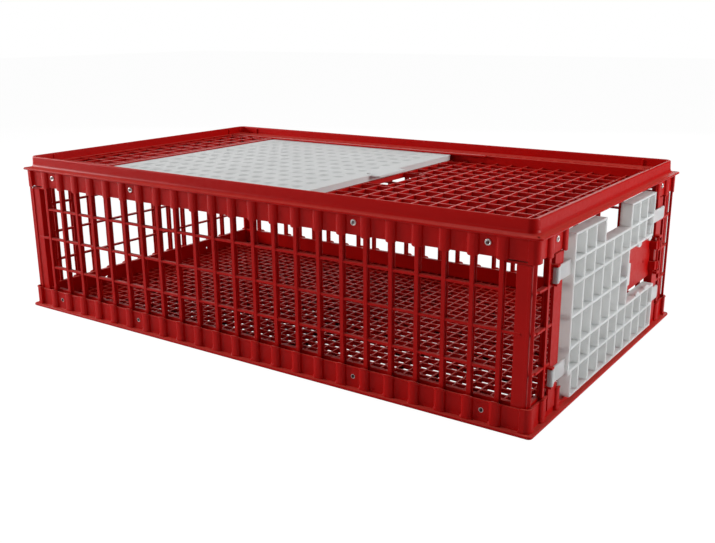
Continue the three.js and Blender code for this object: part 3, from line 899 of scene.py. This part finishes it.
def door_pockets(lines, half):
    """Extent across and up of each open pocket in the front of the end door."""
    found = []
    for row, (z0, z1) in enumerate(zip(DOOR_ROWS, DOOR_ROWS[1:])):
        spans = list(zip(lines, lines[1:]))
        if row < WINDOW_ROWS[0]:
            spans.append((lines[-1], END_DOOR["lower_right"] - half))
        for column, (y0, y1) in enumerate(spans):
            in_notch = row == len(DOOR_ROWS) - 2 and NOTCH[0] <= column < NOTCH[1]
            in_window = WINDOW_ROWS[0] <= row < WINDOW_ROWS[1] and column >= NOTCH[1]
            if in_notch or in_window:
                continue
            if row == 0 and column == 0:
                y0 = DOOR_INSET["left"] + half
            found.append(((y0 + half, y1 - half), (z0 + half, z1 - half)))
    return found


def slab_across(outline, back, front):
    """Solid with an outline in Y and Z, between two places along X."""
    points, faces = prism(outline, back, front)
    return points[:, [2, 0, 1]], faces


def tab(y0, y1, low, high):
    """Flat tab over a door post, with rounded corners."""
    outline, _ = rounded_outline((y1 - y0) / 2, (high - low) / 2, 4.5, 5)
    middle = ((y0 + y1) / 2, (low + high) / 2)
    plate = mesh_object("tab", slab_across(outline + middle, DOOR_TABS["back"], DOOR_TABS["front"]))
    soften(plate, 0.6, 2)
    return plate


def tooth(y, half, z, direction):
    """Rounded snap tooth on an edge of the door's window."""
    outline = []
    for step in range(13):
        angle = math.pi * step / 12
        outline.append((y + half * math.cos(angle), z + direction * TOOTH_REACH * math.sin(angle) ** 0.6))
    outline += [(y - half, z - direction * 1.5), (y + half, z - direction * 1.5)]
    piece = mesh_object("tooth", slab_across(outline, END_DOOR["front"] - 4, END_DOOR["front"] - 0.1))
    soften(piece, 0.35, 2, angle=60)
    return piece


def round_bar(hinge, radius, low, high):
    points, faces = solid_of_revolution([(radius, low), (radius, high)], 24)
    return mesh_object("round_bar", (points + (hinge["x"], hinge["y"], 0), faces))


def knuckle(hinge, low, high):
    """Rolled end of a hinge leaf, round the pin."""
    barrel = round_bar(hinge, hinge["knuckle"], low, high)
    soften(barrel, 0.6, 2, angle=50)
    return barrel


def tab_root(hinge, low, high):
    """Wedge that runs from the front of a knuckle down to the face of its tab."""
    x, y, radius = hinge["x"], hinge["y"], hinge["knuckle"]
    front, back, far = DOOR_TABS["front"], DOOR_TABS["back"], y + 13
    outline = [(x + radius - 0.1, y), (front, far), (back, far), (back, y)]
    wedge = mesh_object("tab_root", prism(outline, low, high))
    soften(wedge, 0.5, 2)
    return wedge


def pin_with_ears(panel, hinge, low, high, ears, reach):
    """Fixed pin from one height to another, carried by ears that stand on the door post."""
    combine(panel, round_bar(hinge, hinge["pin"], low, high), "UNION")
    for ear_low, ear_high in ears:
        y = (hinge["y"] + reach[0], hinge["y"] + reach[1])
        ear = Bricks().add((471, hinge["x"] + 3), y, (ear_low, ear_high))
        combine(panel, bricks_object("ear", ear, 0.5, 2), "UNION")


def latch_flap():
    """Plate on two knuckles, with the small round mark of its moulding gate."""
    back, front = LATCH["back"], LATCH["front"]
    y0, y1, z0, z1 = (LATCH[key] for key in ("left", "right", "bottom", "top"))
    outline, _ = rounded_outline((y1 - y0) / 2, (z1 - z0) / 2, 5, 6)
    middle = ((y0 + y1) / 2, (z0 + z1) / 2)
    plate = mesh_object("latch_flap_moulding", slab_across(outline + middle, back, front))
    soften(plate, 0.9, 3)
    x, y = LATCH_HINGE["x"], LATCH_HINGE["y"]
    for low, high in LATCH_KNUCKLES:
        arm = Bricks().add((front - 1.5, x + 1.2), (y1 - 4, y1), (low, high))
        arm.add((x - 2.5, x + 1.2), (y1 - 4, y), (low, high))
        combine(plate, bricks_object("arm", arm, 0.8, 3), "UNION")
        combine(plate, knuckle(LATCH_HINGE, low, high), "UNION")
    combine(plate, round_bar(LATCH_HINGE, LATCH_HINGE["bore"], z0, z1), "DIFFERENCE")
    mark = mesh_object("gate_mark", lathe([(1.6, -0.5), (1.6, 0.35), (2.6, 0.35), (2.6, -0.5)], 20))
    place = Matrix.Translation(Vector((front, GATE_MARK["y"], GATE_MARK["z"])) * MM)
    mark.data.transform(place @ Matrix.Rotation(math.pi / 2, 4, "Y"))
    return combine(plate, mark, "UNION")


# ---------------------------------------------------------------- rivets

SIDES = {"front": (0, -1), "back": (0, 1), "left": (-1, 0), "right": (1, 0)}


def rivet_place(node):
    """Level and side of a rivet, where it meets the face of its panel, and the way it points."""
    low, high = span(node)
    _, level, side, _ = node.split("_")
    outward = SIDES[side]
    face = {"base": BASE_PANEL, "lid": LID_PANEL}[level][0 if outward[0] else 1]
    middle = (low + high) / 2
    point = Vector((outward[0] * face or middle[0], outward[1] * face or middle[1], middle[2]))
    turn = Matrix.Rotation(math.atan2(outward[1], outward[0]), 4, "Z") @ Matrix.Rotation(math.pi / 2, 4, "Y")
    return level, side, Matrix.Translation(point * MM) @ turn


def rivet(name, outer, bore, rise):
    """Tubular rivet along Z: a rolled head round an open hole, and the tube behind it."""
    profile = [(bore, -RIVET_LENGTH), (bore, rise * 0.35)]
    middle, swing = (bore + outer) / 2, (outer - bore) / 2
    for step in range(1, 7):
        angle = math.pi * (1 - step / 7)
        profile.append((middle + swing * math.cos(angle), rise * (0.35 + 0.65 * math.sin(angle))))
    profile += [(outer, 0), (RIVET_TUBE, 0), (RIVET_TUBE, -RIVET_LENGTH)]
    return mesh_object(name, lathe(profile, 28))


def drill(piece, level, sides):
    """Blind holes for the rivets through a skirt or into a wall."""
    for node in RIVETS:
        at_level, side, place = rivet_place(node)
        if side in sides and level in (at_level, "both"):
            radius = RIVET_HOLE["radius"]
            points, faces = solid_of_revolution([(radius, -RIVET_HOLE["depth"]), (radius, 3)], 28)
            hole = mesh_object("hole", (points, faces))
            hole.data.transform(place)
            combine(piece, hole, "DIFFERENCE")
    return piece


RIVETS = sorted(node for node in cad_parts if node.startswith("rivet_"))


# ---------------------------------------------------------------- pieces in place

panel_front = door_end_panel("door_end_panel_front_moulding", -1)
panel_back = door_end_panel("door_end_panel_back_moulding", 1)
for tab_low, tab_high in DOOR_TABS["heights"]:
    lower_ear = (tab_low - 3.4, tab_low - 0.4)
    upper_ear = (tab_high + 0.4, tab_high + 3.4)
    pin_with_ears(panel_front, DOOR_HINGE, lower_ear[0], upper_ear[1], (lower_ear, upper_ear), (-3, 4.5))
pin_with_ears(panel_back, LATCH_HINGE, LATCH_EARS[0][0], LATCH_EARS[1][1], LATCH_EARS, (-3.5, 8))

RED_PIECES = (
    (drill(base_tray(), "base", SIDES), "base_tray"),
    (drill(lid(), "lid", SIDES), "lid"),
    (drill(long_wall("front_wall_moulding", -1), "both", ["front"]), "front_wall"),
    (drill(long_wall("back_wall_moulding", 1), "both", ["back"]), "back_wall"),
    (drill(closed_end_wall(), "both", ["left"]), "closed_end_wall"),
    (panel_front, "door_end_panel_front"),
    (panel_back, "door_end_panel_back"),
)
for piece, node in RED_PIECES:
    finish_piece(piece, "crate", "red_plastic", RED, node)
finish_piece(top_door(), "top_door", "white_plastic", SHEET, "top_sliding_door")
finish_piece(end_door(), "end_door", "white_plastic", WHITE, "end_door")
finish_piece(latch_flap(), "latch", "red_plastic", RED, "latch_flap")
for node in RIVETS:
    rivet_level, _, rivet_matrix = rivet_place(node)
    tube = rivet(f"{node}_tube", *RIVET_HEADS[rivet_level])
    tube.data.transform(rivet_matrix)
    finish_piece(tube, "crate", "rivet_metal", METAL, node)


# ---------------------------------------------------------------- stage

def camera():
    """View that was fitted to the edges and corners of the crate."""
    data = bpy.data.cameras.new("camera")
    data.sensor_width = 36
    data.lens = 44.07
    view = bpy.data.objects.new("camera", data)
    bpy.context.scene.collection.objects.link(view)
    azimuth, elevation, roll = (math.radians(a) for a in (34.731, 15.756, -0.337))
    back = Vector((
        math.sin(azimuth) * math.cos(elevation),
        -math.cos(azimuth) * math.cos(elevation),
        math.sin(elevation),
    ))
    right = Vector((math.cos(azimuth), math.sin(azimuth), 0))
    up = back.cross(right)
    turned_right = right * math.cos(roll) + up * math.sin(roll)
    turned_up = up * math.cos(roll) - right * math.sin(roll)
    turn = Matrix((turned_right, turned_up, back)).transposed().to_4x4()
    view.matrix_world = Matrix.Translation(Vector((0.8631, -1.20116, 0.48697))) @ turn
    bpy.context.scene.camera = view


def floor():
    """Matt pale floor that the camera sees as almost white."""
    size = 12
    mesh = bpy.data.meshes.new("floor")
    corners = [(-size, -size, 0), (size, -size, 0), (size, size, 0), (-size, size, 0)]
    mesh.from_pydata(corners, [], [(0, 1, 2, 3)])
    plane = bpy.data.objects.new("floor", mesh)
    bpy.context.scene.collection.objects.link(plane)
    material = bpy.data.materials.new("pale_floor")
    material.use_nodes = True
    nodes, links = material.node_tree.nodes, material.node_tree.links
    shader = nodes["Principled BSDF"]
    shader.inputs["Base Color"].default_value = (0.85, 0.85, 0.85, 1)
    shader.inputs["Roughness"].default_value = 0.9
    glow = nodes.new("ShaderNodeEmission")
    glow.inputs["Color"].default_value = (1, 1, 1, 1)
    glow.inputs["Strength"].default_value = 1.06
    mix = nodes.new("ShaderNodeMixShader")
    seen = nodes.new("ShaderNodeLightPath")
    share = nodes.new("ShaderNodeMath")
    share.operation = "MULTIPLY"
    share.inputs[1].default_value = 0.92
    links.new(seen.outputs["Is Camera Ray"], share.inputs[0])
    links.new(share.outputs[0], mix.inputs[0])
    links.new(shader.outputs[0], mix.inputs[1])
    links.new(glow.outputs[0], mix.inputs[2])
    links.new(mix.outputs[0], nodes["Material Output"].inputs[0])
    mesh.materials.append(material)
    plane.location.z = -0.0005


def surroundings(light_strength):
    """White all round for the camera, and a softer white as light."""
    world = bpy.data.worlds.new("studio")
    world.use_nodes = True
    nodes, links = world.node_tree.nodes, world.node_tree.links
    background = nodes["Background"]
    background.inputs["Color"].default_value = (1, 1, 1, 1)
    seen = nodes.new("ShaderNodeLightPath")
    strength = nodes.new("ShaderNodeMapRange")
    strength.inputs["To Min"].default_value = light_strength
    strength.inputs["To Max"].default_value = 1.0
    links.new(seen.outputs["Is Camera Ray"], strength.inputs["Value"])
    links.new(strength.outputs["Result"], background.inputs["Strength"])
    bpy.context.scene.world = world


def softbox(name, place, target, size, power):
    data = bpy.data.lights.new(name, "AREA")
    data.shape = "RECTANGLE"
    data.size, data.size_y = size
    data.energy = power
    light = bpy.data.objects.new(name, data)
    bpy.context.scene.collection.objects.link(light)
    light.location = place
    light.rotation_euler = (Vector(target) - Vector(place)).to_track_quat("-Z", "Y").to_euler()
    light.visible_camera = False


camera()
floor()
surroundings(0.06)
softbox("left_light", (-2.3, -0.95, 0.8), (-0.35, -0.25, 0.15), (0.7, 0.7), 46)
softbox("front_light", (-0.3, -2.7, 1.1), (-0.1, -0.25, 0.15), (0.9, 0.9), 5)
softbox("right_light", (1.9, 0.7, 0.8), (0.5, 0.05, 0.15), (0.9, 0.9), 25)
softbox("top_light", (-0.1, -0.2, 2.3), (0, 0, 0.2), (1.4, 1.4), 17)
softbox("back_light", (-1.2, 2.4, 0.75), (0, 0, 0.25), (3.4, 0.8), 14)
bpy.context.scene.view_settings.view_transform = "Standard"
